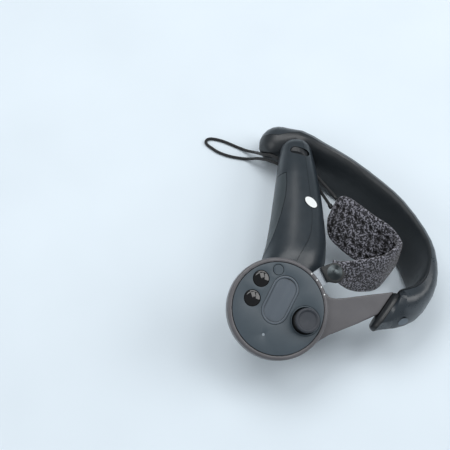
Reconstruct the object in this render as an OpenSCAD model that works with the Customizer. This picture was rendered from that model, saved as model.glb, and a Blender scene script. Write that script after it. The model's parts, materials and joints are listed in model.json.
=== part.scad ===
// Hand-held motion controller with a round thumb plate, a sensing grip, a knuckle strap and a
// tracking ring, lying on a table: +Z up, the grip along Y with its head towards -Y.

/* [Head] */
// Outer radius of the round head
head_r = 30; // [29.5:0.1:30.5]
// Radius of the face plate
plate_r = 27.1; // [26.9:0.1:27.2]
// Thickness of the face plate
plate_t = 2; // [1.8:0.1:2]
// Pitch of the face plate about X
plate_pitch = 19; // [18.5:0.5:19.5]
// Roll of the face plate about Y
plate_roll = 9.5; // [9:0.5:10]

/* [Controls] */
// Radius of the two domed thumb buttons
button_r = 4.6; // [4:0.1:4.7]
// Travel of the thumb buttons
button_travel = 0.8; // [0.4:0.1:0.8]
// Radius of the small flush system button
system_r = 3; // [2.6:0.1:3]
// Radius of the thumbstick's cap
stick_cap_r = 7.3; // [6.5:0.1:7.4]
// Radius of the rounded groove round the trackpad
pad_r = 8; // [7.6:0.1:8]
// Width of the trigger's blade
trigger_w = 15; // [13:0.5:15]

/* [Grip] */
// Wall thickness of the grip shells
grip_wall = 2; // [1.8:0.1:2.2]
// Depth of the finger panel's recess
panel_depth = 1.2; // [1:0.1:1.2]

/* [Ring] */
// Wall thickness of the ring's shells
ring_wall = 1.8; // [1.6:0.1:2]

/* [Strap] */
// Thickness of the padded strap
pad_t = 3.6; // [3:0.2:3.8]
// Diameter of the drawstring
cord_d = 2; // [1.8:0.1:2]

/* [Hidden] */

// Middle of the footprint, where the origin stands
foot = [65.32, -20.72, 0];
// Centre of the face plate's top
plate_c = [31, -80, 47.5];
gap = 0.1;
clear = 0.3;
fine = 96;

// Places on the face plate, measured from its centre
pad_top = [3.6, 11.4];
pad_low = [-2.1, -1.4];
button_a_at = [-15.7, 5.1];
button_b_at = [-11, 16.7];
system_at = [-1, 22.6];
stick_at = [16.2, -6.2];
light_at = [-8.2, -15.5];
stick_pivot_z = -6.5;
stick_well_r = 8.8;
dome_r = 8.3;
housing_top = -7;
housing_floor = -14;
ledge_z = -3;
board_z = -10.2;
board_t = 1.2;

// Strap anchor: a metal tongue that slides round the head through a slot
anchor_a = 39;
anchor_half = 9;
anchor_low = -20;
anchor_high = 10;
tongue_z = -4.2;
tongue_t = 0.8;
rivet_at = [33, 23.6];
tab_reach = 45.8;
tab_round = 6.4;
tab_z = tongue_z + tongue_t + 0.05;
pad_gap_r = 46.2;

// Trigger, in plate coordinates: across, along, up
trigger_x = 6;
trigger_hinge = [-20, -20];
trigger_pin_r = 1.5;

module stand() { translate(-foot) children(); }
module on_plate() { translate(plate_c) rotate([plate_pitch, plate_roll, 0]) children(); }
module on_stick() { on_plate() translate([stick_at[0], stick_at[1], 0]) children(); }
function plate_vector(p) = let(
        a = plate_pitch, b = plate_roll,
        y = p[1] * cos(a) - p[2] * sin(a),
        z = p[1] * sin(a) + p[2] * cos(a))
    [p[0] * cos(b) + z * sin(b), y, -p[0] * sin(b) + z * cos(b)];
function plate_point(p) = plate_c + plate_vector(p);

// Smooth curves through hand-chosen stations
function station(list, i) = list[max(0, min(len(list) - 1, i))];
function spline(a, b, c, d, t) =
    0.5 * (2 * b + (c - a) * t + (2 * a - 5 * b + 4 * c - d) * t * t
        + (3 * b - a - 3 * c + d) * t * t * t);
function along(list, s) = let(
        i = max(0, min(len(list) - 2, floor(s))), t = s - i)
    spline(station(list, i - 1), station(list, i), station(list, i + 1), station(list, i + 2), t);
function unit(v) = v / norm(v);
function power(x, n) = sign(x) * pow(abs(x), 2 / n);

function total(v, i = 0) = i < len(v) ? v[i] + total(v, i + 1) : [0, 0, 0];
function backward(v) = [for (i = [len(v) - 1 : -1 : 0]) v[i]];
// Whether a ring of points turns right-handed about the way to the next ring
function turns(a, b) = total([for (j = [1 : len(a) - 2]) cross(a[j] - a[0], a[j + 1] - a[0])])
    * (total(b) - total(a)) > 0;

// A closed skin through rings of points, capped at both ends
module skin(rings) {
    m = len(rings[0]);
    n = len(rings);
    points = [for (r = rings) for (p = r) p];
    sides = [for (i = [0 : n - 2]) for (j = [0 : m - 1])
        let(k = (j + 1) % m)
        each [[i * m + j, i * m + k, (i + 1) * m + k], [i * m + j, (i + 1) * m + k, (i + 1) * m + j]]];
    first = [for (j = [m - 1 : -1 : 0]) j];
    last = [for (j = [0 : m - 1]) (n - 1) * m + j];
    faces = concat(sides, [first], [last]);
    polyhedron(points, turns(rings[0], rings[1]) ? [for (f = faces) backward(f)] : faces, convexity = 6);
}

/* Grip: sections across Y, each [y, centre x, centre z, half width, up, down, seam angle] */
grip = [
    [38.7, 46.4, 24.7, 10.6, 10.5, 10.5, 66],
    [29.7, 46.3, 25.8, 12, 11.6, 11.6, 66],
    [18.4, 46.2, 26.6, 13.5, 12.8, 12.8, 66],
    [0, 45.8, 27, 15.7, 14, 14.2, 64],
    [-14.4, 45.1, 27, 17.2, 15.5, 15.2, 62],
    [-28.4, 44, 27, 18.6, 17, 16, 66],
    [-37.4, 42.5, 27, 19.5, 18.2, 18.5, 74],
    [-44, 41, 26.5, 19.8, 19, 22.5, 80],
    [-50, 39.5, 26, 19.5, 18.5, 26, 84],
    [-55.5, 38.3, 27, 18, 16.5, 21.5, 86],
    [-60.5, 37, 29, 15.5, 13.5, 13.5, 88],
    [-64.5, 36, 30.5, 11.5, 9.5, 8.5, 90],
    [-67, 35.4, 31, 6, 5, 4.5, 90]
];
grip_power = 2.15;
// The domed end beyond the first station, as steps of an arc
dome_steps = [84, 66, 48, 32, 16];
function grip_row(s) = s >= 0 ? along(grip, s) : let(
        g = grip[0], a = -s, k = cos(a))
    [g[0] + 10.5 * sin(a), g[1], g[2], g[3] * k, g[4] * k, g[5] * k, g[6]];
function grip_point(g, a, inset) = let(
        h = sin(a) > 0 ? g[4] : g[5],
        rx = max(g[3] - inset, g[3] * 0.4), rz = max(h - inset, h * 0.4))
    [g[1] + rx * power(cos(a), grip_power), g[0], g[2] + rz * power(sin(a), grip_power)];
grip_stops = concat([for (a = dome_steps) -a], [for (i = [0 : 24]) i / 2]);
seam_gap = 0.3;
under_seam = -100;

// A part of the grip's wall between two angles, from one depth to another
function wall_ring(g, a0, a1, outer, inner, steps) = concat(
    [for (i = [0 : steps]) grip_point(g, a0 + (a1 - a0) * i / steps, outer)],
    [for (i = [steps : -1 : 0]) grip_point(g, a0 + (a1 - a0) * i / steps, inner)]);

// Finger panel: its edge angle falls away towards the head
panel_start = 2.03;
panel_rows = [2.04, 2.5, 3, 3.5, 4, 4.5, 5, 5.5, 5.9, 6.2];
panel_stop = 6.22;
function panel_edge(s) = lookup(s, [[2, 122], [2.4, 118], [3, 119], [4, 128], [5, 142], [6, 158], [6.5, 166]]);
panel_low = 238;

module nested_in_head() {
    difference() {
        children();
        on_plate() translate([0, 0, housing_floor - clear]) cylinder(r = head_r + clear, h = 60, $fn = fine);
    }
}

/* Ring: stations [low edge x y z, high edge x y z, outward bulge, inward bulge, roundness] */
ring = [
    [35.6, 53.7, 0, 35.6, 53.7, 25.6, 12.8, 12.8, 2],
    [47, 43.5, 0.9, 49.2, 55.6, 26.6, 10.4, 9, 2.1],
    [61, 30.5, 1.2, 63.3, 45.9, 28, 9, 4, 2.3],
    [78, 15, 1.3, 81.4, 31.6, 30, 8.5, 2.2, 2.4],
    [92.5, -1, 1.3, 99.5, 14.2, 31, 8, 1.8, 2.4],
    [102, -14, 1.1, 111.3, 0.1, 32, 7.5, 1.6, 2.4],
    [109.5, -28, 0.8, 122.2, -19.8, 33, 7.2, 1.6, 2.4],
    [113, -40, 2.2, 126, -33.9, 34, 7.9, 1.8, 2.4],
    [114.5, -52, 6, 124.2, -46.5, 35, 9.6, 2, 2.4],
    [112.5, -64, 11, 120.5, -55.6, 36, 9.4, 3, 2.5],
    [107, -74, 17, 113.8, -61.5, 37, 9.2, 4.2, 2.6],
    [98, -81.3, 23, 106, -64.2, 38.2, 8.6, 5.2, 2.8]
];
// The ring's last section lies in the joint with the arm, square to the face plate
ring_end_at = [66.7, 2.2, -7];
ring_end_along = [-0.545, -0.84, 0];
ring_end_half = 13.6;
ring_end_up = 7;
ring_tail_r = 12.8;
ring_power_end = 3;
ring_count = len(ring);
ring_side_end = unit(plate_vector(ring_end_along));
ring_up_end = plate_vector([0, 0, 1]);
ring_end_row = let(c = plate_point(ring_end_at), h = ring_side_end * ring_end_half)
    concat([for (k = [0 : 2]) c[k] + h[k]], [for (k = [0 : 2]) c[k] - h[k]],
        [ring_end_up, ring_end_up, ring_power_end]);
ring_all = concat(ring, [ring_end_row]);
function low(r) = [r[0], r[1], r[2]];
function high(r) = [r[3], r[4], r[5]];
function middle(r) = (low(r) + high(r)) / 2;
function ring_heading(s) = unit(middle(along(ring_all, min(s + 0.02, ring_count)))
    - middle(along(ring_all, max(s - 0.02, 0))));
// A ring section: [centre, outward unit vector, unit vector to the high edge, half height, out, in, power]
function ring_frame(s) = let(
        r = along(ring_all, s), h = high(r) - low(r), up = unit(h),
        blend = max(0, min(1, (s - ring_count + 1.6) / 1.6)),
        free = unit(cross(up, ring_heading(s))),
        out = unit(free * (1 - blend) + ring_up_end * blend),
        square = unit(out - up * (out * up)))
    [middle(r), square, up, norm(h) / 2, r[6], r[7], r[8]];
function tail_frame(a) = let(f = ring_frame(0), k = cos(a))
    [f[0] - ring_heading(0) * ring_tail_r * sin(a), f[1], f[2], f[3] * k, f[4] * k, f[5] * k, f[6]];
function ring_point(f, a, inset) = let(
        side = cos(a) > 0 ? f[4] : f[5],
        i = min(inset, 0.3 * f[3]))
    f[0] + f[1] * (side - i) * power(cos(a), f[6]) + f[2] * (f[3] - i) * power(sin(a), f[6]);
tail_steps = [84, 66, 48, 30, 14];
ring_frames = concat([for (a = tail_steps) tail_frame(a)],
    [for (i = [0 : 2 * ring_count]) ring_frame(i / 2)]);
function ring_band(f, a0, a1, outer, inner, steps) = concat(
    [for (i = [0 : steps]) ring_point(f, a0 + (a1 - a0) * i / steps, outer)],
    [for (i = [steps : -1 : 0]) ring_point(f, a0 + (a1 - a0) * i / steps, inner)]);
ring_seam = 0.5;
sensor_places = [for (i = [1 : 11]) i + 0.25];

/* Strap: stations [top edge x y z, bottom edge x y z] from the tab round the fold to the grip */
strap = [
    [63, -49.5, 49.5, 62.5, -58, 46],
    [69, -49.8, 48, 66.5, -60.3, 41],
    [77.5, -49, 47, 74, -60, 30.5],
    [86.5, -47, 45.5, 83, -58, 23],
    [95, -44, 43.5, 92.5, -54, 18],
    [102, -39, 41.7, 100, -45, 16],
    [106.3, -34, 40, 106, -36, 15],
    [105.6, -28.5, 38.8, 104, -34, 15],
    [101.5, -21, 38, 97.5, -37, 16.5],
    [93, -13.4, 37, 89.5, -37.5, 17.5],
    [84.5, -4.7, 35.5, 81, -34.5, 18.5],
    [78, 1.8, 33.5, 72, -26.5, 18.5],
    [74, 3.8, 32, 65.5, -17.5, 18.5],
    [71, 2.8, 30, 64.6, -8, 21]
];
// Drawstring strands from the strap's end into the grip
strand_starts = [[70.6, 3.6, 29], [67.6, -1, 25.4]];
strand_ends = [[57, 24, 26.6], [57.6, 19.5, 22.6]];

/* Pull cord: a loop that comes out of the cord lock, falls over the ring's tail and lies flat */
pull_route = [
    [38.8, 36.8, 20], [36.3, 38, 20], [33.6, 39.5, 20],
    [30, 42.3, 18.6], [25.4, 44.5, 15.9], [22.3, 48.5, 11.3],
    [19.8, 52.2, 6.6], [15.6, 55.4, 3], [10.6, 58.6, 1.2], [6, 61, 1], [0, 64, 1], [-5, 65.8, 1],
    [-9.4, 66.6, 1], [-12, 66, 1], [-13.2, 64, 1], [-12.2, 61.8, 1], [-9, 59, 1], [-5, 56, 1],
    [0, 53.6, 1], [5, 52, 1], [10, 51, 1], [14, 50.2, 1.4], [18, 48.6, 4], [21.8, 46.4, 8],
    [25.6, 43.4, 12], [29.4, 40.2, 15.2], [33, 37.6, 16.8], [35.8, 35.9, 17], [38.2, 34.6, 17.4]
];

// A straight round bar between two points
module bar(a, b, r) {
    d = b - a;
    translate(a) rotate([0, acos(d[2] / norm(d)), atan2(d[1], d[0])])
        cylinder(r = r, h = norm(d), $fn = 32);
}
// Turns +Z to a direction
module facing(at, d) { translate(at) rotate([0, acos(d[2] / norm(d)), atan2(d[1], d[0])]) children(); }

module pad_outline(r) {
    function arc(at, a0) = [for (i = [0 : 40]) let(a = a0 + i * 4.5) at + r * [cos(a), sin(a)]];
    polygon(concat(arc(pad_top, pad_turn - 90), arc(pad_low, pad_turn + 90)));
}
module disc(at, r, z0, z1) { translate([at[0], at[1], z0]) cylinder(r = r, h = z1 - z0, $fn = fine); }
module sector(r0, r1, z0, z1, a0, a1) {
    rotate([0, 0, a0]) rotate_extrude(angle = a1 - a0, $fn = fine)
        translate([r0, z0]) square([r1 - r0, z1 - z0]);
}

/* Head */
dot_angles = [48.9, 39.1, 29.6, 20.1];
dot_ring = 28.7;
arm_outline = [
    [22, 17.5], [27.2, 13.6], [29.6, 10.8], [32, 9], [35, 8.6], [40, 9.2], [49, 10.9], [58, 12.6],
    [70.8, 14.9], [61.8, 1], [52.9, -3.4], [49.6, -5.2], [43.6, -7.9], [37.7, -10.6], [31.7, -13.3], [25.9, -17.1],
    [20.3, -21.8]
];
arm_top = -4.9;
arm_low = -12.6;
rim_profile = [
    [plate_r + gap, -0.15], [28.9, 0], [29.6, -0.5], [head_r, -1.4], [head_r, housing_top],
    [25.6, housing_top], [25.6, ledge_z], [25, ledge_z], [25, -plate_t - gap], [plate_r + gap, -plate_t - gap]
];
module head_frame() {
    color("#5b5e62") stand() on_plate() difference() {
        union() {
            rotate_extrude($fn = fine) polygon(rim_profile);
            difference() {
                translate([0, 0, arm_low]) linear_extrude(arm_top - arm_low) polygon(arm_outline);
                disc([0, 0], head_r - 0.5, arm_low - 1, 0);
            }
        }
        sector(20, 32, tongue_z - clear, tongue_z + tongue_t + clear,
            anchor_a - anchor_half + anchor_low - 1.2, anchor_a + anchor_half + anchor_high + 1.2);
        for (a = dot_angles) rotate([0, 0, a]) disc([dot_ring, 0], 0.5, -0.5, 1);
        disc(system_at, system_r + 1.2, -5, -plate_t - gap + 0.01);
        disc(button_b_at, button_r + 1.4, -5, -plate_t - gap + 0.01);
    }
}
module detent_dots() {
    color("white") stand() on_plate()
        for (a = dot_angles) rotate([0, 0, a]) disc([dot_ring, 0], 0.45, -0.45, -0.02);
}
module head_housing() {
    color("#26292c") stand() on_plate() difference() {
        rotate_extrude($fn = fine) polygon([
            [0, housing_floor], [26.6, housing_floor], [28.6, housing_floor + 1.2], [29.3, housing_floor + 3.4],
            [29.3, housing_top - gap], [24.8, housing_top - gap],
            [24.8, housing_floor + 2], [0, housing_floor + 2]
        ]);
        translate([0, 0, arm_low - clear]) linear_extrude(8) difference() {
            polygon(arm_outline);
            circle(r = head_r - 0.8, $fn = fine);
        }
        for (a = screw_angles) rotate([0, 0, a]) {
            disc([screw_ring, 0], 1.05, housing_floor - 1, housing_top + 1);
            disc([screw_ring, 0], 2.1, housing_floor - 1, housing_floor + 1.6);
        }
    }
}
screw_angles = [75, 165, 255, 330];
screw_ring = 26.9;
module head_screws() {
    color("#9a9da1") stand() on_plate() for (a = screw_angles) rotate([0, 0, a]) difference() {
        union() {
            disc([screw_ring, 0], 1, housing_floor + 0.4, housing_top - gap);
            disc([screw_ring, 0], 1.9, housing_floor + 0.3, housing_floor + 1.5);
        }
        translate([screw_ring, 0, housing_floor - 0.1]) cylinder(r = 0.7, h = 1, $fn = 6);
    }
}
module face_plate() {
    color("#5d666b") stand() on_plate() difference() {
        disc([0, 0], plate_r, -plate_t, 0);
        translate([0, 0, -plate_t - 1]) linear_extrude(plate_t + 2) pad_outline(pad_r + gap / 2);
        disc(button_a_at, button_r + clear, -plate_t - 1, 1);
        disc(button_b_at, button_r + clear, -plate_t - 1, 1);
        disc(system_at, system_r + 0.25, -plate_t - 1, 1);
        disc(stick_at, stick_well_r + gap / 2, -plate_t - 1, 1);
        disc(light_at, 0.9, -plate_t - 1, 1);
    }
}
module status_light_pipe() {
    color("#e8eef0") stand() on_plate() {
        disc(light_at, 0.85, -plate_t, -0.05);
        disc(light_at, 1.6, board_z + board_t + 1, -plate_t - gap);
    }
}
module trackpad_bezel() {
    color("#4c5459") stand() on_plate() difference() {
        translate([0, 0, -plate_t]) linear_extrude(plate_t - 0.1) pad_outline(pad_r);
        translate([0, 0, -plate_t - 1]) linear_extrude(plate_t + 2) pad_outline(pad_r - 1.4);
    }
}
pad_turn = atan2(pad_top[1] - pad_low[1], pad_top[0] - pad_low[0]);
dish_r = 20;
module trackpad_pad() {
    color("#6f7a82") stand() on_plate() difference() {
        translate([0, 0, -2.6]) linear_extrude(2.1) pad_outline(pad_r - 1.5);
        // Shallow dish that runs along the pad, of radius dish_r and 0.4 deep
        translate([pad_low[0], pad_low[1], 0]) rotate([0, 0, pad_turn]) translate([-20, 0, 0])
            rotate([90, 0, 90]) linear_extrude(60) polygon(concat(
                [for (i = [-6 : 6]) [i * 0.8, dish_r - 0.9 - sqrt(dish_r * dish_r - i * i * 0.64)]],
                [[4.8, 1], [-4.8, 1]]));
    }
}
module trackpad_force_sensor() {
    low = board_z + board_t + gap;
    color("#b08d3c") stand() on_plate() translate([0, 0, low]) linear_extrude(-2.7 - low) pad_outline(5.2);
}
module push_button(at, r, top, dome) {
    difference() {
        union() {
            disc(at, r, -4.2, top);
            disc(at, r + 0.9, -3.2, -2.4);
            if (dome > 0) translate([at[0], at[1], top - gap]) intersection() {
                translate([0, 0, dome - (r * r + dome * dome) / (2 * dome)])
                    sphere(r = (r * r + dome * dome) / (2 * dome), $fn = fine);
                cylinder(r = r, h = dome + 1, $fn = fine);
            }
        }
        disc(at, r - 1.2, -5, -2.6);
    }
    disc(at, 1, -4.3, -2.5);
}
module button_a() { color("#101214") stand() on_plate() push_button(button_a_at, button_r, 0, 1); }
module button_b() { color("#101214") stand() on_plate() push_button(button_b_at, button_r, 0, 1); }
module system_button() {
    color("#5a6368") stand() on_plate() {
        disc(system_at, system_r, -3.2, -0.1);
        disc(system_at, system_r + 0.7, -3.2, -2.4);
        disc(system_at, 1, -4.3, -3.1);
    }
}
module button_switches() {
    color("#c9cccf") stand() on_plate() for (at = [button_a_at, button_b_at, [-0.9, 21.6]])
        translate([at[0] - 2.2, at[1] - 2.2, board_z + board_t]) {
            cube([4.4, 4.4, 2]);
            translate([2.2, 2.2, 1.9]) cylinder(r = 1.4, h = button_low - board_z - board_t - 1.9, $fn = fine);
        }
}
button_low = -4.3 - button_travel - 0.1;
module main_board() {
    color("#1f4a35") stand() on_plate() difference() {
        disc([0, 0], 24.4, board_z, board_z + board_t);
        disc(stick_at, 8, board_z - 1, board_z + 2);
    }
}

/* Thumbstick */
module thumbstick_cap() {
    color("#4c5359") stand() on_stick() difference() {
        rotate_extrude($fn = fine) polygon([
            [0, 3.2], [5, 3.4], [6.6, 4.1], [stick_cap_r, 5], [stick_cap_r, 5.8], [6.9, 6.5], [6.2, 6.7],
            [5.6, 6.5], [5, 5.9], [0, 5.5]
        ]);
        translate([0, 0, 2]) cylinder(r = 1.55, h = 2.8, $fn = fine);
    }
}
module thumbstick_shaft() {
    color("#8b9095") stand() on_stick() {
        translate([0, 0, -8.2]) cylinder(r = 1.5, h = 13, $fn = fine);
        translate([0, 4.4, stick_pivot_z]) rotate([90, 0, 0]) cylinder(r = 0.7, h = 8.8, $fn = fine);
    }
}
module thumbstick_skirt() {
    color("#22262a") stand() on_stick() translate([0, 0, stick_pivot_z]) difference() {
        sphere(r = dome_r, $fn = fine);
        sphere(r = dome_r - 0.8, $fn = fine);
        translate([0, 0, 3.4 - 20]) cube(40, center = true);
        cylinder(r = 1.55, h = 20, $fn = fine);
    }
}
module thumbstick_yoke() {
    color("#c0c4c8") stand() on_stick() translate([0, 0, stick_pivot_z]) {
        difference() {
            union() {
                translate([0, 0, -1.2]) cylinder(r = 4.8, h = 2.4, $fn = fine);
                translate([-6.3, 0, 0]) rotate([0, 90, 0]) cylinder(r = 0.7, h = 12.6, $fn = fine);
            }
            translate([0, 0, -3]) cylinder(r = 3.2, h = 6, $fn = fine);
            translate([0, 6, 0]) rotate([90, 0, 0]) cylinder(r = 0.75, h = 12, $fn = fine);
        }
    }
}
module thumbstick_carriage() {
    color("#33373b") stand() on_stick() translate([0, 0, stick_pivot_z]) difference() {
        translate([0, 0, -2.2]) cylinder(r = 6.7, h = 3.4, $fn = fine);
        translate([0, 0, -3]) cylinder(r = 5.3, h = 6, $fn = fine);
        translate([-9, 0, 0]) rotate([0, 90, 0]) cylinder(r = 0.75, h = 18, $fn = fine);
    }
}
module thumbstick_base() {
    color("#8f9498") stand() on_stick() difference() {
        translate([0, 0, housing_floor + 2 + gap]) cylinder(r = 7.4, h = 4.6, $fn = fine);
        translate([0, 0, housing_floor + 3]) cylinder(r = 6.95, h = 6, $fn = fine);
    }
}
module thumbstick_bezel() {
    color("#3c4246") stand() on_stick() difference() {
        translate([0, 0, -plate_t]) cylinder(r = stick_well_r, h = plate_t - 0.1, $fn = fine);
        translate([0, 0, -plate_t - 1]) cylinder(r = stick_well_r - 0.8, h = plate_t + 2, $fn = fine);
    }
}

/* Trigger */
module across(w) {
    translate([trigger_x - w / 2, 0, 0]) rotate([90, 0, 90]) linear_extrude(w) children();
}
blade_outline = [
    [-24.1, -19], [-24.3, -23], [-22.6, -28], [-18.6, -32.4], [-12, -36.2], [-5, -39.6], [-0.5, -42.6],
    [1.6, -43.4], [2.4, -41.6], [-1.5, -37], [-7, -32.2], [-12.5, -28], [-16, -23.6], [-16, -20]
];
module trigger() {
    color("#202427") stand() on_plate() difference() {
        union() {
            across(trigger_w) polygon(blade_outline);
            across(trigger_w) translate(trigger_hinge) circle(r = 4.2, $fn = fine);
        }
        across(trigger_w + 2) translate(trigger_hinge) circle(r = trigger_pin_r + 0.05, $fn = fine);
        across(5) translate(trigger_hinge) circle(r = 3.4, $fn = fine);
    }
}
module trigger_pin() {
    color("#b9bdc1") stand() on_plate() across(trigger_w + 5.4)
        translate(trigger_hinge) circle(r = trigger_pin_r, $fn = fine);
}
module trigger_spring() {
    color("#9fa3a8") stand() on_plate() {
        across(4.4) translate(trigger_hinge) difference() {
            circle(r = 2.6, $fn = fine);
            circle(r = 1.75, $fn = fine);
        }
    }
}
module trigger_bracket() {
    color("#2b2f33") stand() on_plate() difference() {
        across(trigger_w + 5) polygon([
            [-24.2, housing_floor - gap], [3.6, housing_floor - gap],
            [4, -22], [3.4, -30], [0.6, -36.4], [-4, -35.2],
            [-12, -31.2], [-19, -27], [-24.4, -23.4], [-25, -19.5]
        ]);
        across(trigger_w + 0.8) polygon([
            [-40, housing_floor - 1.8], [20, housing_floor - 1.8], [20, -60], [-40, -60]
        ]);
        across(trigger_w + 12) translate(trigger_hinge) circle(r = trigger_pin_r, $fn = fine);
    }
}

/* Grip */
screw_places = [[49.5, 8], [49.5, -19]];
screw_seat = 14.9;
port_at = [50.5, 21.5];
lock_button_at = [48.2, 34.9];
lock_button_turn = -16;
pull_exits = [pull_route[0], pull_route[len(pull_route) - 1]];
module slot(half, r) {
    square([2 * (half - r), 2 * r], center = true);
    for (k = [-1, 1]) translate([k * (half - r), 0]) circle(r = r, $fn = fine);
}
module on_lock_button(z) {
    translate([lock_button_at[0], lock_button_at[1], z]) rotate([0, 0, lock_button_turn]) children();
}
module button_opening() { on_lock_button(30) linear_extrude(15) slot(6.3, 3.1); }
module handle_right_shell() {
    color("#3f4a52") stand() difference() {
        nested_in_head() skin([for (s = grip_stops) let(g = grip_row(s))
            wall_ring(g, under_seam + seam_gap, g[6] - seam_gap, 0, grip_wall, 14)]);
        button_opening();
        for (at = screw_places) translate([at[0], at[1], 0]) {
            cylinder(r = 1.1, h = 20, $fn = fine);
            cylinder(r = 2.2, h = screw_seat, $fn = fine);
        }
        translate([port_at[0], port_at[1], 5]) linear_extrude(15) slot(4.7, 1.8);
        for (i = [0, 1]) bar(strand_starts[i], strand_ends[i], cord_d / 2 + 0.25);
    }
}
module handle_left_shell() {
    color("#3f4a52") stand() difference() {
        nested_in_head() skin([for (r = left_rows) left_ring(grip_row(r[0]), r[0], r[1])]);
        button_opening();
        for (p = pull_exits) bar(p - [6, -2.6, 0], p + [2, -0.9, 0], cord_d / 2 + 0.25);
    }
}
// A section of the left shell, with the finger panel's recess sunk into it
function left_columns(g, s, sunk) = let(
        a0 = g[6] + seam_gap, a1 = panel_edge(s), a2 = panel_low, a3 = 360 + under_seam - seam_gap)
    concat([for (i = [0 : 4]) [a0 + (a1 - 0.6 - a0) * i / 4, 0]],
        [for (i = [0 : 10]) [a1 + (a2 - a1) * i / 10, sunk]],
        [for (i = [0 : 3]) [a2 + 0.6 + (a3 - a2 - 0.6) * i / 3, 0]]);
function left_ring(g, s, sunk) = let(c = left_columns(g, s, sunk), n = len(c) - 1) concat(
    [for (i = [0 : n]) grip_point(g, c[i][0], c[i][1])],
    [for (i = [n : -1 : 0]) grip_point(g, c[i][0], grip_wall)]);
left_rows = concat([for (s = grip_stops) if (s < panel_start) [s, 0]], [[panel_start, 0]],
    [for (s = panel_rows) [s, panel_depth]], [[panel_stop, 0]],
    [for (s = grip_stops) if (s > panel_stop) [s, 0]]);
module finger_panel() {
    color("#48545a") stand() skin([for (i = [0 : len(panel_rows) - 1]) let(
            s = panel_rows[i], g = along(grip, i == 0 ? s + 0.012 : (i == len(panel_rows) - 1 ? s - 0.02 : s)))
        wall_ring(g, panel_edge(s) + 0.5, panel_low - 0.5, 0, panel_depth - 0.1, 10)]);
}
module grip_sensor_flex() {
    color("#b07a2c") stand() skin([for (s = [2.5, 3, 3.5, 4, 4.5, 5, 5.5]) let(g = along(grip, s))
        wall_ring(g, panel_edge(s) + 8, panel_low - 8, grip_wall + 0.3, grip_wall + 0.6, 8)]);
}
module battery() {
    color("#4a6fa0") stand() translate([45.4, -4, 27.5]) rotate([90, 0, 0])
        linear_extrude(40, center = true) square([16.6, 13], center = true);
}
module handle_spine() {
    color("#555a5f") stand() difference() {
        translate([45.8 - 6, -26, 18.4]) cube([12, 48, 2.2]);
        for (at = screw_places) translate([at[0], at[1], 0]) cylinder(r = 1.05, h = 40, $fn = fine);
        translate([port_at[0], port_at[1], 0]) linear_extrude(40) slot(5, 2.1);
    }
}
module haptic_motor() {
    color("#a7abaf") stand() translate([41.6, -31, 24]) rotate([90, 0, 0]) cylinder(r = 7, h = 14, $fn = fine);
}
module handle_screws() {
    color("#8b8f94") stand() for (at = screw_places) translate([at[0], at[1], 0]) difference() {
        union() {
            translate([0, 0, screw_seat - 1.15]) cylinder(r = 1.95, h = 1.1, $fn = fine);
            translate([0, 0, screw_seat - 1]) cylinder(r = 1, h = 6.6, $fn = fine);
        }
        translate([0, 0, screw_seat - 1.5]) cylinder(r = 0.7, h = 1, $fn = 6);
    }
}
sticker_s = 3.35;
module seal_sticker() {
    p = grip_point(along(grip, sticker_s), sticker_a, 0);
    // An oval as the slanting cut of a round bar
    color("#e4ebea") stand() facing(p, sticker_normal) translate([0, 0, 0.2]) intersection() {
        rotate([0, 0, -38]) rotate([0, 44, 0]) cylinder(r = 3.1, h = 20, center = true, $fn = fine);
        cylinder(r = 6, h = 0.25, $fn = fine);
    }
}
sticker_a = 64;
sticker_normal = [0.42, 0.02, 0.9];
module usb_port() {
    color("#7d8286") stand() translate([port_at[0], port_at[1], 15.1]) {
        difference() {
            linear_extrude(5.6) slot(4.6, 1.7);
            translate([0, 0, -1]) linear_extrude(5.6) slot(4.2, 1.3);
        }
        translate([-2.9, -0.35, 1]) cube([5.8, 0.7, 4]);
    }
}
// Clamp that grips the drawstring inside the end of the grip
module cord_lock_body() {
    color("#1b1e21") stand() difference() {
        translate([41, 29.5, 19]) cube([11, 7, 8]);
        translate([46.4, 0, 22.4]) rotate([-90, 0, 0]) cylinder(r = 1.3, h = 60, $fn = fine);
    }
}
lock_top = 35.1;
module cord_lock_button() {
    color("#22272b") stand() {
        difference() {
            intersection() {
                on_lock_button(31) linear_extrude(10) slot(6, 2.8);
                translate([46.4, 0, lock_top - 10.2]) rotate([-90, 0, 0])
                    cylinder(r = 10.2, h = 60, $fn = fine);
            }
            // Groove for the thumbnail along its front edge
            on_lock_button(lock_top + 0.4) translate([-8, -2.4, 0]) rotate([0, 90, 0])
                cylinder(r = 2, h = 16, $fn = fine);
        }
        translate([lock_button_at[0], lock_button_at[1] - 2, 28.9]) cylinder(r = 1.4, h = 2.2, $fn = fine);
    }
}
module cord_lock_spring() {
    color("#9fa3a8") stand() translate([lock_button_at[0], lock_button_at[1] - 2, 27.05]) difference() {
        cylinder(r = 2.4, h = 3.9, $fn = fine);
        translate([0, 0, -1]) cylinder(r = 1.8, h = 6, $fn = fine);
    }
}

/* Strap */
module anchor_tongue() {
    color("#a9b0b6") stand() on_plate() difference() {
        union() {
            sector(25.9, 31.9, tongue_z, tongue_z + tongue_t, anchor_a - anchor_half, anchor_a + anchor_half);
            translate([0, 0, tongue_z]) linear_extrude(tongue_t)
                polygon([[20.8, 23.1], [27, 15.6], [29.4, 17.6], [36.5, 18.8], [36.5, 27.4], [24.8, 26.2]]);
        }
        disc(rivet_at, 1.8, tongue_z - 1, 0);
    }
}
module strap_anchor() {
    color("#1c2225") stand() on_plate() difference() {
        intersection() {
            translate([0, 0, tab_z]) linear_extrude(-1.2 - tab_z) polygon(concat(
                [[33.2, 29.4], [28.7, 28], [24.4, 25.9], [28.8, 17.8]],
                [for (a = [-80 : 10 : 20]) rivet_at + tab_round * [cos(a), sin(a)]],
                [[37, 28.8]]));
            disc([0, 0], tab_reach, tab_z - 1, 0);
        }
        disc(rivet_at, 1.8, tongue_z - 1, 1);
    }
}
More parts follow.
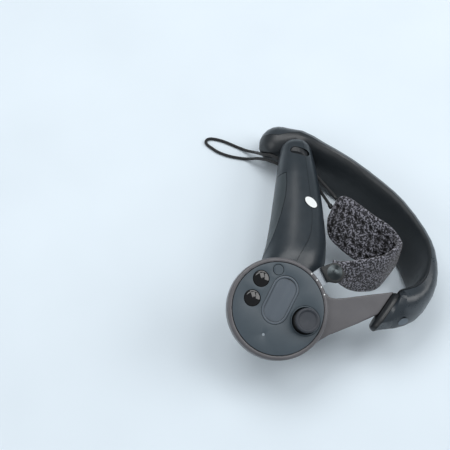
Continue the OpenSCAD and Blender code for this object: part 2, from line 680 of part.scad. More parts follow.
module strap_rivet() {
    color("#16191b") stand() on_plate() {
        disc(rivet_at, 1.75, tongue_z - 0.4, -0.9);
        disc(rivet_at, 3, tongue_z - 0.4, tongue_z - 0.05);
        translate([rivet_at[0], rivet_at[1], -1.15]) cylinder(r1 = 4.6, r2 = 1.2, h = 1.5, $fn = fine);
    }
}
function strap_ring(s, t) = let(
        r = along(strap, s), n = len(strap) - 1,
        a = along(strap, max(s - 0.02, 0)), b = along(strap, min(s + 0.02, n)),
        top = high(r), bottom = low(r),
        run = unit(middle(b) - middle(a)), rise = unit(low(r) - high(r)),
        out = unit(cross(run, rise)), m = middle(r), h = norm(low(r) - high(r)) / 2)
    [for (i = [0 : 11]) let(q = i * 30)
        m + rise * h * power(cos(q), 4) + out * (t / 2) * power(sin(q), 4)];
module strap_pad() {
    color("#3d3f47") stand() difference() {
        skin([for (i = [0 : 30]) strap_ring(i * (len(strap) - 1) / 30, pad_t)]);
        on_plate() disc([0, 0], pad_gap_r, -30, 20);
    }
}
module strap_cord() {
    color("#17191b") stand() for (i = [0, 1]) bar(strand_starts[i], strand_ends[i], cord_d / 2);
}
module cord_ferrules() {
    color("#2a2d30") stand() for (i = [0, 1]) difference() {
        bar(strand_starts[i], strand_starts[i] + unit(strand_ends[i] - strand_starts[i]) * 2.2, 1.45);
        bar(strand_starts[i], strand_ends[i], cord_d / 2 + 0.02);
    }
}
module pull_cord() {
    n = len(pull_route) - 1;
    count = 52;
    color("#15171a") stand() skin([for (i = [0 : count]) let(
            s = i * n / count, p = along(pull_route, s),
            d = unit(along(pull_route, min(s + 0.05, n)) - along(pull_route, max(s - 0.05, 0))),
            u = unit(cross(d, [0, 0, 1])), v = cross(u, d))
        [for (k = [0 : 7]) p + (u * cos(45 * k) + v * sin(45 * k)) * cord_d / 2]]);
}

/* Ring */
module ring_outer_shell() {
    color("#4c5055") stand() difference() {
        skin([for (f = ring_frames) ring_band(f, -90 + ring_seam, 90 - ring_seam, 0, ring_wall, 12)]);
        badge_facing() translate([-20, -20, 0]) cube([40, 40, 12]);
    }
}
module ring_inner_shell() {
    color("#2b3034") stand() difference() {
        skin([for (f = ring_frames) ring_band(f, 90 + ring_seam, 270 - ring_seam, 0, ring_wall, 10)]);
        // Socket for the end of the grip
        translate([grip[0][1], grip[0][0], grip[0][2]]) {
            sphere(r = 11.2, $fn = fine);
            rotate([90, 0, 0]) cylinder(r = 11.2, h = 10, $fn = fine);
        }
    }
}
// Domed cap that closes the ring round the arm: [step towards the arm, how far it draws in]
cap_steps = [[0.2, 0], [1.3, 0.35], [2.3, 1.1], [3, 2.1], [3.4, 3.2]];
module ring_end_cap() {
    f = ring_frame(ring_count);
    heading = unit(cross(ring_up_end, ring_side_end));
    color("#1f2426") stand() skin([for (c = cap_steps) let(
            g = [f[0] - heading * c[0], f[1], f[2], f[3] - c[1] * 0.45, f[4] - c[1], f[5] - c[1] * 0.35, f[6]])
        [for (i = [0 : 23]) ring_point(g, i * 15, 0)]]);
}
// Flat lens on the ring's outside, with a blank disc on it
module badge_facing() {
    f = ring_frame(badge_s);
    foot_at = ring_point(f, badge_a, badge_depth);
    facing(foot_at, ring_point(f, badge_a, 0) - foot_at) children();
}
module ring_badge() {
    color("#8a939b") stand() badge_facing() translate([0, 0, 0.05]) cylinder(r = 3.2, h = 0.3, $fn = fine);
}
badge_s = 10.8;
badge_a = -18;
badge_depth = 0.4;
module ring_sensor_flex() {
    color("#b07a2c") stand() skin([for (i = [2 : 22]) let(f = ring_frame(i / 2))
        ring_band(f, -30, 30, ring_wall + 1.6, ring_wall + 2, 4)]);
}
module tracking_sensors() {
    color("#111316") stand() for (s = sensor_places) let(f = ring_frame(s))
        facing(ring_point(f, 0, ring_wall + 1.4), f[1]) translate([-1.6, -1.6, 0]) cube([3.2, 3.2, 0.9]);
}

head_frame();
head_housing();
face_plate();
detent_dots();
status_light_pipe();
trackpad_bezel();
trackpad_pad();
trackpad_force_sensor();
system_button();
button_a();
button_b();
button_switches();
thumbstick_cap();
thumbstick_shaft();
thumbstick_skirt();
thumbstick_yoke();
thumbstick_carriage();
thumbstick_base();
thumbstick_bezel();
main_board();
head_screws();
trigger();
trigger_pin();
trigger_spring();
trigger_bracket();
handle_left_shell();
handle_right_shell();
finger_panel();
grip_sensor_flex();
handle_spine();
battery();
haptic_motor();
handle_screws();
seal_sticker();
usb_port();
cord_lock_body();
cord_lock_button();
cord_lock_spring();
strap_anchor();
anchor_tongue();
strap_rivet();
strap_pad();
strap_cord();
cord_ferrules();
pull_cord();
ring_inner_shell();
ring_outer_shell();
ring_end_cap();
ring_badge();
ring_sensor_flex();
tracking_sensors();
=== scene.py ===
"""Visual model of the motion controller, in the CAD row's frame.

In order: camera, cords, materials, the CAD nodes' finish, the head frame, the padded strap,
floor and light. Lengths are in mm of the table layout until place() turns them into
the frame's metres.
"""
import json
import math

import bmesh
import bpy
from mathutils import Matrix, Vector


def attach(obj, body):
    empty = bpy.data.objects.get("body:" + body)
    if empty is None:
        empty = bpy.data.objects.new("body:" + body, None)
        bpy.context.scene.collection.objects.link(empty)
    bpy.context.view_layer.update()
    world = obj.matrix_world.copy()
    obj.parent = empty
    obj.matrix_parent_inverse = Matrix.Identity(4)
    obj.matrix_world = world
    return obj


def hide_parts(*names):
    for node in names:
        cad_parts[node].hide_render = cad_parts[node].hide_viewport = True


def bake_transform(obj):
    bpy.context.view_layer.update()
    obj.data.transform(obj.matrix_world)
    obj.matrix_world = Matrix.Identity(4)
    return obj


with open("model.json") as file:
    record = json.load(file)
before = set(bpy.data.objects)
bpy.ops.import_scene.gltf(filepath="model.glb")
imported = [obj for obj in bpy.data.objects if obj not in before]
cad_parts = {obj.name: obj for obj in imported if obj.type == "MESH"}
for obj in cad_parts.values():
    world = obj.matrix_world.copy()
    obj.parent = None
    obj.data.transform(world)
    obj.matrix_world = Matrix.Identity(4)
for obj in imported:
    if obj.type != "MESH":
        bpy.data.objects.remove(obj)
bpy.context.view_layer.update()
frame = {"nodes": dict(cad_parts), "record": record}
nodes = frame["nodes"]

# The table layout, in mm, has its own zero: FOOT is where the row frame's origin stands in it
MM = 0.001
FOOT = Vector((65.32, -20.72, 0.0))
PLATE_CENTRE = (31, -80, 47.5)
PLATE_PITCH = 19
PLATE_ROLL = 9.5


def place(p):
    """A point of the layout, in the row frame."""
    return (Vector(p) - FOOT) * MM


def plate_vector(p):
    """A direction or offset measured on the face plate, turned into the layout."""
    a, b = math.radians(PLATE_PITCH), math.radians(PLATE_ROLL)
    x, y, z = p[0], p[1] * math.cos(a) - p[2] * math.sin(a), p[1] * math.sin(a) + p[2] * math.cos(a)
    return Vector((x * math.cos(b) + z * math.sin(b), y, -x * math.sin(b) + z * math.cos(b)))


def plate_point(p):
    """A point of the face plate, in the row frame."""
    return place(Vector(PLATE_CENTRE) + plate_vector(p))


def srgb(r, g, b):
    """A colour given as 0 to 255 on screen, as linear light."""
    def linear(c):
        c /= 255
        return c / 12.92 if c <= 0.04045 else ((c + 0.055) / 1.055) ** 2.4
    return (linear(r), linear(g), linear(b), 1.0)


def along(rows, s):
    """A smooth curve through rows of numbers, at station s."""
    last = len(rows) - 1
    i = max(0, min(last - 1, math.floor(s)))
    t = s - i
    a, b, c, d = (rows[max(0, min(last, i + k))] for k in (-1, 0, 1, 2))
    return [
        0.5 * (2 * q + (r - p) * t + (2 * p - 5 * q + 4 * r - u) * t * t
               + (3 * q - p - 3 * r + u) * t ** 3)
        for p, q, r, u in zip(a, b, c, d)
    ]


def power(x, n):
    """Squares a sine or cosine off, so that a circle becomes a rounded box."""
    return math.copysign(abs(x) ** (2 / n), x)


def mesh_object(name, verts, faces, uvs=None):
    """A smooth-shaded mesh in the scene, with one UV per vertex if given."""
    mesh = bpy.data.meshes.new(name)
    mesh.from_pydata([tuple(v) for v in verts], [], faces)
    if uvs:
        layer = mesh.uv_layers.new(name="cloth")
        for loop in mesh.loops:
            layer.data[loop.index].uv = uvs[loop.vertex_index]
    mesh.polygons.foreach_set("use_smooth", [True] * len(mesh.polygons))
    mesh.update()
    obj = bpy.data.objects.new(name, mesh)
    bpy.context.scene.collection.objects.link(obj)
    return obj


# ---------------------------------------------------------------- camera

CAMERA_PLACE = (0, -312.2, 587.2)
CAMERA_AIM = (0, 0, 0)
CAMERA_LENS = 80.9

camera_data = bpy.data.cameras.new("camera")
camera_data.lens = CAMERA_LENS
camera_data.sensor_width = 36
camera_data.clip_start = 0.01
camera = bpy.data.objects.new("camera", camera_data)
bpy.context.scene.collection.objects.link(camera)
camera.location = place(CAMERA_PLACE)
camera.rotation_euler = (place(CAMERA_AIM) - camera.location).to_track_quat("-Z", "Y").to_euler()
bpy.context.scene.camera = camera

# ---------------------------------------------------------------- cords

CORD_RADIUS = 1.0
PULL_STEPS = 224
STRAND_STEPS = 40
# The drawstring, from one hole of the cord lock round its loop on the table to the other hole
PULL_ROUTE = [
    (38.8, 36.8, 20), (36.3, 38, 20), (33.6, 39.5, 20), (30, 42.3, 18.6), (25.4, 44.5, 15.9),
    (22.3, 48.5, 11.3), (19.8, 52.2, 6.6), (15.6, 55.4, 3), (10.6, 58.6, 1.2), (6, 61, 1),
    (0, 64, 1), (-5, 65.8, 1),
    (-9.4, 66.6, 1), (-12, 66, 1), (-13.2, 64, 1), (-12.2, 61.8, 1), (-9, 59, 1), (-5, 56, 1),
    (0, 53.6, 1), (5, 52, 1), (10, 51, 1), (14, 50.2, 1.4), (18, 48.6, 4), (21.8, 46.4, 8),
    (25.6, 43.4, 12), (29.4, 40.2, 15.2), (33, 37.6, 16.8), (35.8, 35.9, 17), (38.2, 34.6, 17.4),
]
# The two strands, each from the strap pad into the grip
STRAND_STARTS = [(70.6, 3.6, 29), (67.6, -1, 25.4)]
STRAND_ENDS = [(57, 24, 26.6), (57.6, 19.5, 22.6)]


def tube(name, points, radius, sides=12):
    """A round tube in mm through points, with its length and its girth in mm as UVs."""
    points = [Vector(p) for p in points]
    verts, uvs, faces = [], [], []
    run = 0
    side = None
    for i, p in enumerate(points):
        heading = (points[min(i + 1, len(points) - 1)] - points[max(i - 1, 0)]).normalized()
        side = heading.cross(Vector((0, 0, 1))) if side is None else side - heading * side.dot(heading)
        side.normalize()
        up = side.cross(heading)
        run += (p - points[i - 1]).length if i else 0
        for k in range(sides):
            a = math.tau * k / sides
            verts.append(place(p + (side * math.cos(a) + up * math.sin(a)) * radius))
            uvs.append((run, radius * a))
    for i in range(len(points) - 1):
        for k in range(sides):
            j = (k + 1) % sides
            faces.append((i * sides + k, i * sides + j, (i + 1) * sides + j, (i + 1) * sides + k))
    faces.append(tuple(range(sides - 1, -1, -1)))
    faces.append(tuple((len(points) - 1) * sides + k for k in range(sides)))
    return mesh_object(name, verts, faces, uvs), run


pull_path = [along(PULL_ROUTE, i * (len(PULL_ROUTE) - 1) / PULL_STEPS) for i in range(PULL_STEPS + 1)]
pull_cord, pull_length = tube("pull_cord_braid", pull_path, CORD_RADIUS)
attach(pull_cord, "controller")
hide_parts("pull_cord")
strands = []
for index, (start, end) in enumerate(zip(STRAND_STARTS, STRAND_ENDS)):
    strand_path = [Vector(start).lerp(Vector(end), i / STRAND_STEPS) for i in range(STRAND_STEPS + 1)]
    strand, _ = tube("strap_strand_%d" % (index + 1), strand_path, CORD_RADIUS)
    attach(strand, "controller")
    strands.append(strand)
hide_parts("strap_cord")

# ---------------------------------------------------------------- materials


def material(name):
    """A new material with its nodes, its links and its shader."""
    made = bpy.data.materials.new(name)
    made.use_nodes = True
    tree = made.node_tree
    return made, tree.nodes, tree.links, tree.nodes["Principled BSDF"]


def ramp(n, stops):
    """A colour ramp with (position, colour) stops."""
    node = n.new("ShaderNodeValToRGB")
    elements = node.color_ramp.elements
    elements[0].position, elements[0].color = stops[0]
    elements[1].position, elements[1].color = stops[-1]
    for position, colour in stops[1:-1]:
        elements.new(position).color = colour
    return node


def noise(n, links, vector, size_mm, detail=2.0, roughness=0.5):
    """Noise whose features are about size_mm across, on a vector in metres."""
    node = n.new("ShaderNodeTexNoise")
    node.inputs["Scale"].default_value = 1000 / size_mm
    node.inputs["Detail"].default_value = detail
    node.inputs["Roughness"].default_value = roughness
    links.new(vector, node.inputs["Vector"])
    return node.outputs["Fac"]


def spread(n, links, value, low, high):
    """The middle range of a noise, stretched from low to high."""
    node = n.new("ShaderNodeMapRange")
    node.inputs["From Min"].default_value = 0.3
    node.inputs["From Max"].default_value = 0.7
    node.inputs["To Min"].default_value = low
    node.inputs["To Max"].default_value = high
    links.new(value, node.inputs["Value"])
    return node.outputs["Result"]


def bump(n, links, height, depth_mm, strength, under=None):
    """Relief from a height, on top of another relief if given."""
    node = n.new("ShaderNodeBump")
    node.inputs["Strength"].default_value = strength
    node.inputs["Distance"].default_value = depth_mm * MM
    links.new(height, node.inputs["Height"])
    if under:
        links.new(under, node.inputs["Normal"])
    return node.outputs["Normal"]


def painted_crevice_shade(n, links, colour, shade_reach_mm):
    """Painted shade: darkens a colour where surfaces close in, at the seams and grooves of moulded
    parts, where shade falls.
    """
    open_sky = n.new("ShaderNodeAmbientOcclusion")
    open_sky.samples = 8
    open_sky.inputs["Distance"].default_value = shade_reach_mm * MM
    shade = ramp(n, [(0.5, (0.05, 0.05, 0.05, 1)), (0.9, (1, 1, 1, 1))])
    links.new(open_sky.outputs["AO"], shade.inputs["Fac"])
    mix = n.new("ShaderNodeMix")
    mix.data_type = "RGBA"
    mix.blend_type = "MULTIPLY"
    mix.inputs["Factor"].default_value = 1.0
    links.new(colour, mix.inputs["A"])
    links.new(shade.outputs["Color"], mix.inputs["B"])
    return mix.outputs["Result"]


def moulded(name, colour, rough=0.45, grain=0.35, depth=0.03, strength=0.35, mottle=0.08,
            drift=0.055, coat=0.0, metal=0.0, reach=1.2):
    """Moulded plastic, rubber or paint: a fine grain, a slow drift of tone and gloss, and painted shade
    in seams and grooves out to reach mm.
    """
    made, n, links, shader = material(name)
    where = n.new("ShaderNodeTexCoord").outputs["Object"]
    base = srgb(*colour)
    dark = tuple(c * (1 - mottle) for c in base[:3]) + (1,)
    light = tuple(min(1, c * (1 + mottle)) for c in base[:3]) + (1,)
    tone = ramp(n, [(0.3, dark), (0.7, light)])
    links.new(noise(n, links, where, 9, 4.0), tone.inputs["Fac"])
    # Painted shade: the tone is darkened in seams and grooves, out to reach mm
    links.new(painted_crevice_shade(n, links, tone.outputs["Color"], reach), shader.inputs["Base Color"])
    links.new(spread(n, links, noise(n, links, where, 3.5, 5.0, 0.6), rough - drift, rough + drift),
              shader.inputs["Roughness"])
    relief = bump(n, links, noise(n, links, where, grain, 3.0, 0.7), depth, strength)
    links.new(relief, shader.inputs["Normal"])
    shader.inputs["Coat Weight"].default_value = coat
    shader.inputs["Coat Roughness"].default_value = 0.03
    shader.inputs["Metallic"].default_value = metal
    return made


def brushed(name, colour, rough=0.3, stretch=(1, 1, 14), strength=0.4):
    """Bare metal with fine lines along one way."""
    made, n, links, shader = material(name)
    where = n.new("ShaderNodeTexCoord").outputs["Object"]
    mapping = n.new("ShaderNodeMapping")
    mapping.inputs["Scale"].default_value = stretch
    links.new(where, mapping.inputs["Vector"])
    lines = noise(n, links, mapping.outputs["Vector"], 3, 4.0, 0.7)
    base = srgb(*colour)
    tone = ramp(n, [(0.35, tuple(c * 0.85 for c in base[:3]) + (1,)), (0.65, base)])
    links.new(lines, tone.inputs["Fac"])
    links.new(tone.outputs["Color"], shader.inputs["Base Color"])
    links.new(spread(n, links, lines, rough - 0.06, rough + 0.08), shader.inputs["Roughness"])
    links.new(bump(n, links, lines, 0.02, strength), shader.inputs["Normal"])
    shader.inputs["Metallic"].default_value = 1.0
    return made


def knit(name, dark, mid, light):
    """Heather knit over foam: light and dark yarns mixed in short flecks, and deep round holes painted
    near black as painted shade.
    """
    made, n, links, shader = material(name)
    uv = n.new("ShaderNodeUVMap")
    uv.uv_map = "cloth"
    where = n.new("ShaderNodeTexCoord").outputs["Object"]
    flecks = noise(n, links, where, 1.1, 2.0, 0.6)
    yarns = n.new("ShaderNodeTexVoronoi")
    yarns.inputs["Scale"].default_value = 1 / 0.8
    links.new(uv.outputs["UV"], yarns.inputs["Vector"])
    tone = ramp(n, [(0.4, srgb(*dark)), (0.5, srgb(*mid)), (0.59, srgb(*light))])
    links.new(flecks, tone.inputs["Fac"])
    # Painted shade: the knit goes near black where the skin is sunk into a hole
    hole = n.new("ShaderNodeAttribute")
    hole.attribute_name = "hole"
    mix = n.new("ShaderNodeMix")
    mix.data_type = "RGBA"
    links.new(hole.outputs["Fac"], mix.inputs["Factor"])
    links.new(tone.outputs["Color"], mix.inputs["A"])
    mix.inputs["B"].default_value = srgb(14, 14, 17)
    links.new(mix.outputs["Result"], shader.inputs["Base Color"])
    relief = bump(n, links, yarns.outputs["Distance"], 0.35, 0.7)
    links.new(bump(n, links, flecks, 0.25, 0.5, under=relief), shader.inputs["Normal"])
    shader.inputs["Roughness"].default_value = 0.95
    shader.inputs["Sheen Weight"].default_value = 0.25
    shader.inputs["Sheen Roughness"].default_value = 0.5
    return made


def braid(name, dark, light):
    """A round cord of plaited yarns, in mm of its own length and girth, with painted shade in the
    plait's grooves.
    """
    made, n, links, shader = material(name)
    uv = n.new("ShaderNodeUVMap")
    uv.uv_map = "cloth"
    heights = []
    for turn in (38, -38):
        mapping = n.new("ShaderNodeMapping")
        mapping.inputs["Rotation"].default_value = (0, 0, math.radians(turn))
        links.new(uv.outputs["UV"], mapping.inputs["Vector"])
        wave = n.new("ShaderNodeTexWave")
        wave.inputs["Scale"].default_value = 0.55
        wave.inputs["Distortion"].default_value = 0.3
        links.new(mapping.outputs["Vector"], wave.inputs["Vector"])
        heights.append(wave.outputs["Fac"])
    plait = n.new("ShaderNodeMath")
    plait.operation = "MULTIPLY"
    for k in (0, 1):
        links.new(heights[k], plait.inputs[k])
    # Painted shade: the tone darkens where the plait is low, in the grooves between yarns
    tone = ramp(n, [(0.1, srgb(*dark)), (0.7, srgb(*light))])
    links.new(plait.outputs[0], tone.inputs["Fac"])
    links.new(tone.outputs["Color"], shader.inputs["Base Color"])
    links.new(bump(n, links, plait.outputs[0], 0.15, 0.6), shader.inputs["Normal"])
    shader.inputs["Roughness"].default_value = 0.75
    shader.inputs["Sheen Weight"].default_value = 0.15
    return made


def turned(name, colour, rough, centre, axis):
    """Metal turned on a lathe: its fine rings pull the highlights into wedges round a point."""
    made, n, links, shader = material(name)
    where = n.new("ShaderNodeTexCoord").outputs["Object"]
    arm = n.new("ShaderNodeVectorMath")
    arm.operation = "SUBTRACT"
    arm.inputs[1].default_value = centre
    links.new(where, arm.inputs[0])
    grooves = n.new("ShaderNodeVectorMath")
    grooves.operation = "CROSS_PRODUCT"
    grooves.inputs[1].default_value = axis
    links.new(arm.outputs["Vector"], grooves.inputs[0])
    links.new(grooves.outputs["Vector"], shader.inputs["Tangent"])
    tone = ramp(n, [(0.3, srgb(*colour)), (0.7, tuple(c * 1.1 for c in srgb(*colour)[:3]) + (1,))])
    links.new(noise(n, links, where, 2.5, 3.0), tone.inputs["Fac"])
    links.new(tone.outputs["Color"], shader.inputs["Base Color"])
    shader.inputs["Roughness"].default_value = rough
    shader.inputs["Anisotropic"].default_value = 0.9
    shader.inputs["Metallic"].default_value = 1.0
    return made


FINISHES = {
    "frame": moulded("frame_plastic", (92, 91, 94), rough=0.36),
    "charcoal": moulded("charcoal_plastic", (44, 48, 52), rough=0.5),
    "plate": moulded("plate_plastic", (66, 77, 85), rough=0.42, grain=0.3, mottle=0.02),
    "white_ink": moulded("white_ink", (235, 238, 238), rough=0.6, mottle=0.02),
    "light_pipe": moulded("light_pipe", (140, 150, 158), rough=0.25, mottle=0.02),
    # The trackpad's painted shade reaches 3 mm, darkening its edges inside the bezel
    "trackpad": moulded("trackpad_plastic", (84, 93, 102), rough=0.3, grain=0.25, depth=0.01,
                        mottle=0.02, drift=0.01, reach=3.0),
    "gloss_black": moulded("gloss_black", (3, 3, 4), rough=0.05, strength=0.01, coat=0.4),
    "stick_rubber": moulded("stick_rubber", (54, 58, 65), rough=0.6, grain=0.5, depth=0.06,
                            strength=0.6),
    "inner_plastic": moulded("inner_plastic", (48, 50, 52), rough=0.5),
    "pale_plastic": moulded("pale_plastic", (190, 192, 188), rough=0.5),
    "steel": brushed("steel_parts", (168, 170, 173)),
    "board": moulded("circuit_board", (24, 82, 50), rough=0.35, grain=0.8, depth=0.05),
    "flex": moulded("flex_film", (168, 116, 42), rough=0.3, strength=0.1),
    "trigger": moulded("trigger_plastic", (30, 33, 36), rough=0.38),
    "grip_shell": moulded("grip_plastic", (40, 48, 54), rough=0.33, grain=0.3, strength=0.25),
    "finger_panel": moulded("finger_panel_plastic", (54, 62, 66), rough=0.4, grain=0.3),
    "battery_wrap": moulded("battery_wrap", (66, 102, 158), rough=0.25, strength=0.1),
    "motor_can": brushed("motor_can", (172, 174, 178), 0.25),
    "label_white": moulded("label_film", (236, 240, 240), rough=0.5, strength=0.1, mottle=0.02),
    "lock_black": moulded("lock_plastic", (30, 34, 38), rough=0.42),
    "tab_black": moulded("tab_plastic", (16, 20, 22), rough=0.42),
    "tongue_metal": brushed("tongue_metal", (168, 175, 182), 0.34, (1, 12, 1), 0.05),
    "ring_inner": moulded("ring_inner_plastic", (34, 39, 43), rough=0.36, grain=0.3, strength=0.2),
    "ring_outer": moulded("ring_outer_plastic", (44, 51, 57), rough=0.3, grain=0.3),
    "ring_cap": moulded("ring_cap_plastic", (26, 30, 33), rough=0.36),
    "badge": moulded("badge_paint", (92, 101, 109), rough=0.35, metal=0.3),
    "sensor_black": moulded("sensor_window", (10, 8, 12), rough=0.12, coat=0.8),
}
# On the face plate, the middle of the rivet's dome
RIVET_PLACE = (33, 23.6, 0.35)
FINISHES["rivet_black"] = turned(
    "rivet_spun", (78, 84, 86), 0.34, plate_point(RIVET_PLACE), plate_vector((0, 0, 1)),
)
FINISHES["strap_knit"] = knit("strap_knit", (14, 14, 18), (40, 40, 46), (140, 140, 150))
FINISHES["cord"] = braid("cord_braid", (14, 15, 17), (44, 47, 50))


# ---------------------------------------------------------------- the CAD nodes' finish

WELD_DISTANCE = 0.01
SMOOTH_UNDER = 32
BEVEL_ABOVE = 40
BEVEL_SEGMENTS = 3


def add_weld(obj):
    """Joins the points that the CAD mesh repeats along its edges."""
    weld = obj.modifiers.new("weld", "WELD")
    weld.merge_threshold = WELD_DISTANCE * MM


def smooth_group(angle_degrees):
    """Geometry nodes that join coincident points and shade smooth across edges under an angle."""
    group = bpy.data.node_groups.new("smooth_under_%d" % angle_degrees, "GeometryNodeTree")
    group.interface.new_socket("Geometry", in_out="INPUT", socket_type="NodeSocketGeometry")
    group.interface.new_socket("Geometry", in_out="OUTPUT", socket_type="NodeSocketGeometry")
    n, links = group.nodes, group.links
    start, end = n.new("NodeGroupInput"), n.new("NodeGroupOutput")
    merge = n.new("GeometryNodeMergeByDistance")
    merge.inputs["Distance"].default_value = WELD_DISTANCE * MM
    faces = n.new("GeometryNodeSetShadeSmooth")
    faces.domain = "FACE"
    angle = n.new("GeometryNodeInputMeshEdgeAngle")
    sharp = n.new("FunctionNodeCompare")
    sharp.data_type = "FLOAT"
    sharp.operation = "GREATER_THAN"
    sharp.inputs[1].default_value = math.radians(angle_degrees)
    edges = n.new("GeometryNodeSetShadeSmooth")
    edges.domain = "EDGE"
    edges.inputs["Shade Smooth"].default_value = False
    links.new(start.outputs[0], merge.inputs["Geometry"])
    links.new(merge.outputs["Geometry"], faces.inputs["Geometry"])
    links.new(faces.outputs["Geometry"], edges.inputs["Geometry"])
    links.new(angle.outputs["Unsigned Angle"], sharp.inputs[0])
    links.new(sharp.outputs["Result"], edges.inputs["Selection"])
    links.new(edges.outputs["Geometry"], end.inputs[0])
    return group


SMOOTH = smooth_group(SMOOTH_UNDER)
# Width of each node's softened edges
BEVELS = {
    "face_plate": 0.25, "trackpad_bezel": 0.3, "trackpad_pad": 0.25, "system_button": 0.2,
    "button_a": 0.15, "button_b": 0.15, "thumbstick_cap": 0.25, "thumbstick_bezel": 0.2,
    "strap_anchor": 0.5, "anchor_tongue": 0.15, "strap_rivet": 0.2, "trigger": 0.8,
    "trigger_bracket": 0.5, "cord_lock_button": 0.5, "ring_badge": 0.15, "head_housing": 0.4,
    "usb_port": 0.15, "handle_screws": 0.1, "head_screws": 0.1, "battery": 1.0,
    "haptic_motor": 0.5, "seal_sticker": 0.05, "cord_lock_body": 0.4,
}
slot_of = {part["node"]: part["material_slot"] for part in frame["record"]["subparts"]}
for name, obj in nodes.items():
    obj.data.materials.clear()
    obj.data.materials.append(FINISHES[slot_of[name]])
    add_weld(obj)
    if name in BEVELS:
        bevel = obj.modifiers.new("edges", "BEVEL")
        bevel.width = BEVELS[name] * MM
        bevel.segments = BEVEL_SEGMENTS
        bevel.limit_method = "ANGLE"
        bevel.angle_limit = math.radians(BEVEL_ABOVE)
        bevel.use_clamp_overlap = True
    smooth = obj.modifiers.new("smooth", "NODES")
    smooth.node_group = SMOOTH
for piece in [pull_cord] + strands:
    piece.data.materials.append(FINISHES["cord"])

# ---------------------------------------------------------------- head frame, blended into its arm

HEAD_VOXEL = 0.45
HEAD_SOFTENING = 5


def blended_copy(name, source, voxel_mm, passes):
    """A copy of a CAD solid whose corners melt into small fillets, as a mould leaves them."""
    mesh = source.data.copy()
    obj = bpy.data.objects.new(name, mesh)
    bpy.context.scene.collection.objects.link(obj)
    add_weld(obj)
    remesh = obj.modifiers.new("remesh", "REMESH")
    remesh.mode = "VOXEL"
    remesh.voxel_size = voxel_mm * MM
    remesh.use_smooth_shade = True
    soften = obj.modifiers.new("soften", "SMOOTH")
    soften.factor = 0.5
    soften.iterations = passes
    graph = bpy.context.evaluated_depsgraph_get()
    final = bpy.data.meshes.new_from_object(obj.evaluated_get(graph))
    obj.modifiers.clear()
    obj.data = final
    final.polygons.foreach_set("use_smooth", [True] * len(final.polygons))
    return obj


head = blended_copy("head_frame_moulding", nodes["head_frame"], HEAD_VOXEL, HEAD_SOFTENING)
head.data.materials.clear()
head.data.materials.append(FINISHES["frame"])
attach(head, "controller")
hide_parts("head_frame")

# ---------------------------------------------------------------- padded strap

# Stations [top edge x y z, bottom edge x y z] in the layout, from the anchor round the fold to the grip
STRAP = [
    (63, -49.5, 49.5, 62.5, -58, 46),
    (69, -49.8, 48, 66.5, -60.3, 41),
    (77.5, -49, 47, 74, -60, 30.5),
    (86.5, -47, 45.5, 83, -58, 23),
    (95, -44, 43.5, 92.5, -54, 18),
    (102, -39, 41.7, 100, -45, 16),
    (106.3, -34, 40, 106, -36, 15),
    (105.6, -28.5, 38.8, 104, -34, 15),
    (101.5, -21, 38, 97.5, -37, 16.5),
    (93, -13.4, 37, 89.5, -37.5, 17.5),
    (84.5, -4.7, 35.5, 81, -34.5, 18.5),
    (78, 1.8, 33.5, 72, -26.5, 18.5),
    (74, 3.8, 32, 65.5, -17.5, 18.5),
    (71, 2.8, 30, 64.6, -8, 21),
]
# The stations between which the pad runs, and how finely its skin is divided
PAD_START = 0.25
PAD_END = 13.0
PAD_RINGS = 300
PAD_AROUND = 128
STATION_STEP = 0.02
PAD_THICKNESS = 3.9
PAD_ROUNDNESS = 3.4
PAD_SWELL = 0.06
# The pad thins over the last END_ROUND mm of both ends, and narrows over CORNER_ROUND mm at the grip.
# Each pair is the share that is left at the end, and the share that grows back
END_ROUND = 2.2
END_THICKNESS = (0.35, 0.65)
CORNER_ROUND = 7
CORNER_WIDTH = (0.72, 0.28)
# Holes stand in columns along the pad, and in rows at these fractions of its width
HOLE_ROWS = (0.27, 0.415, 0.56, 0.705, 0.85)
HOLE_COLUMNS = 10
HOLE_FIRST = 5.0
HOLE_PITCH = 5.4
HOLE_RADIUS = 1.3
HOLE_DEPTH = 1.4
# In hole radii: where the skin starts to sink, and over how far it sinks
HOLE_RIM = 1.35
HOLE_SLOPE = 0.55
# Holes are only on the two faces, where the section has at least this share of its thickness
HOLE_FACE = 0.5


def strap_frame(s):
    """The band's middle, its way across, its way out and half its width, at station s."""
    row = along(STRAP, s)
    a, b = along(STRAP, max(s - STATION_STEP, 0)), along(STRAP, min(s + STATION_STEP, PAD_END))
    top, low = Vector(row[:3]), Vector(row[3:])
    middle = (top + low) / 2
    run = ((Vector(b[:3]) + Vector(b[3:])) / 2 - (Vector(a[:3]) + Vector(a[3:])) / 2).normalized()
    rise = (low - top).normalized()
    return middle, rise, run.cross(rise).normalized(), (low - top).length / 2


def round_in(distance, reach):
    """Rises from 0 at an end to 1 at reach from it, as a quarter circle."""
    return math.sqrt(max(0.0, 1 - (1 - min(1, distance / reach)) ** 2))


def hole_at(from_end, fraction, width):
    """How far the skin is sunk into a hole, 0 to 1, at a place on the band."""
    column = (from_end - HOLE_FIRST) / HOLE_PITCH
    nearest = round(column)
    if not 0 <= nearest < HOLE_COLUMNS:
        return 0.0
    dx = (column - nearest) * HOLE_PITCH
    r = min(math.hypot(dx, (fraction - row) * width) for row in HOLE_ROWS) / HOLE_RADIUS
    return min(1.0, max(0.0, (HOLE_RIM - r) / HOLE_SLOPE))


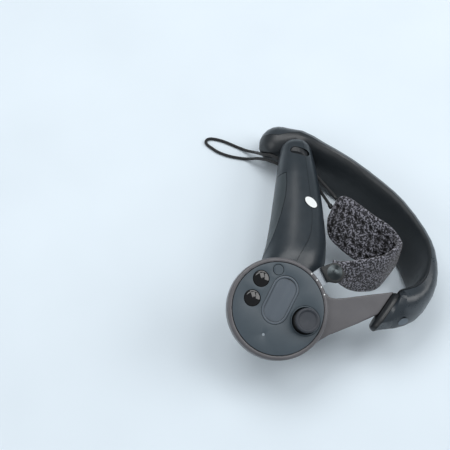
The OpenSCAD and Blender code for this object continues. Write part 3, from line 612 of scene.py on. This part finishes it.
def strap_pad():
    """The band as a dense closed skin, with rolled edges, rounded ends and a field of round holes."""
    stations = [PAD_START + (PAD_END - PAD_START) * i / PAD_RINGS for i in range(PAD_RINGS + 1)]
    frames = [strap_frame(s) for s in stations]
    lengths = [0.0]
    for a, b in zip(frames, frames[1:]):
        lengths.append(lengths[-1] + (b[0] - a[0]).length)
    total = lengths[-1]
    thin, regrown = END_THICKNESS
    narrow, widened = CORNER_WIDTH
    verts, uvs, holes, faces = [], [], [], []
    for (middle, rise, out, half), run in zip(frames, lengths):
        from_end = total - run
        end_thickness = thin + regrown * round_in(min(from_end, run), END_ROUND)
        half_here = half * (narrow + widened * round_in(from_end, CORNER_ROUND))
        girth = 0.0
        last = None
        for k in range(PAD_AROUND):
            a = math.tau * k / PAD_AROUND
            across = power(math.cos(a), PAD_ROUNDNESS)
            thick = power(math.sin(a), PAD_ROUNDNESS)
            # The foam bulges a little between its edges
            swell = 1 + PAD_SWELL * (1 - across * across)
            t = PAD_THICKNESS / 2 * thick * swell * end_thickness
            point = middle + rise * half_here * across + out * t
            deep = hole_at(from_end, (across + 1) / 2, 2 * half) if abs(thick) > HOLE_FACE else 0.0
            point -= out * math.copysign(HOLE_DEPTH * deep, thick)
            girth += (point - last).length if last else 0
            last = point
            verts.append(place(point))
            uvs.append((run, girth))
            holes.append(deep)
    for i in range(PAD_RINGS):
        for k in range(PAD_AROUND):
            j = (k + 1) % PAD_AROUND
            here, beyond = i * PAD_AROUND, (i + 1) * PAD_AROUND
            faces.append((here + k, beyond + k, beyond + j, here + j))
    faces.append(tuple(range(PAD_AROUND)))
    faces.append(tuple(PAD_RINGS * PAD_AROUND + k for k in range(PAD_AROUND - 1, -1, -1)))
    obj = mesh_object("strap_pad_knit", verts, faces, uvs)
    # The same share also sets the painted shade inside the holes, in the knit
    layer = obj.data.attributes.new("hole", "FLOAT", "POINT")
    layer.data.foreach_set("value", holes)
    bm = bmesh.new()
    bm.from_mesh(obj.data)
    bmesh.ops.recalc_face_normals(bm, faces=bm.faces)
    bm.to_mesh(obj.data)
    bm.free()
    return obj


pad = strap_pad()
pad.data.materials.append(FINISHES["strap_knit"])
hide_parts("strap_pad")
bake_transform(pad)

# ---------------------------------------------------------------- floor and light

FLOOR_REACH = 900

floor_corners = [(x * FLOOR_REACH, y * FLOOR_REACH, 0) for x, y in ((-1, -1), (1, -1), (1, 1), (-1, 1))]
floor = mesh_object("floor", [place(p) for p in floor_corners], [(0, 1, 2, 3)])
floor_finish, floor_nodes, floor_links, floor_shader = material("floor_paper")
floor_where = floor_nodes.new("ShaderNodeTexCoord").outputs["Object"]
floor_tone = ramp(floor_nodes, [(0.3, srgb(224, 235, 243)), (0.7, srgb(228, 239, 247))])
floor_links.new(noise(floor_nodes, floor_links, floor_where, 80), floor_tone.inputs["Fac"])
floor_links.new(floor_tone.outputs["Color"], floor_shader.inputs["Base Color"])
floor_shader.inputs["Roughness"].default_value = 0.9
floor.data.materials.append(floor_finish)

LIGHT_AIM = Vector((0, 0, 0))


def softbox(name, where, size, watts):
    """A soft rectangular lamp, with its place and size in metres of the row frame."""
    data = bpy.data.lights.new(name, "AREA")
    data.shape = "RECTANGLE"
    data.size, data.size_y = size
    data.energy = watts
    lamp = bpy.data.objects.new(name, data)
    bpy.context.scene.collection.objects.link(lamp)
    lamp.location = where
    lamp.rotation_euler = (LIGHT_AIM - Vector(where)).to_track_quat("-Z", "Y").to_euler()


softbox("key", (-0.25, 0.35, 0.9), (0.7, 0.5), 3.8)
softbox("sheen", (0.35, 0.1, 0.95), (0.5, 0.4), 2.0)
softbox("fill_left", (-0.8, -0.2, 0.6), (0.6, 0.6), 1.8)
softbox("fill_right", (0.8, 0.0, 0.6), (0.6, 0.6), 3.6)

world = bpy.data.worlds.new("studio")
world.use_nodes = True
background = world.node_tree.nodes["Background"]
background.inputs["Color"].default_value = (0.9, 0.95, 1.0, 1)
background.inputs["Strength"].default_value = 0.32
bpy.context.scene.world = world
bpy.context.scene.view_settings.view_transform = "Standard"
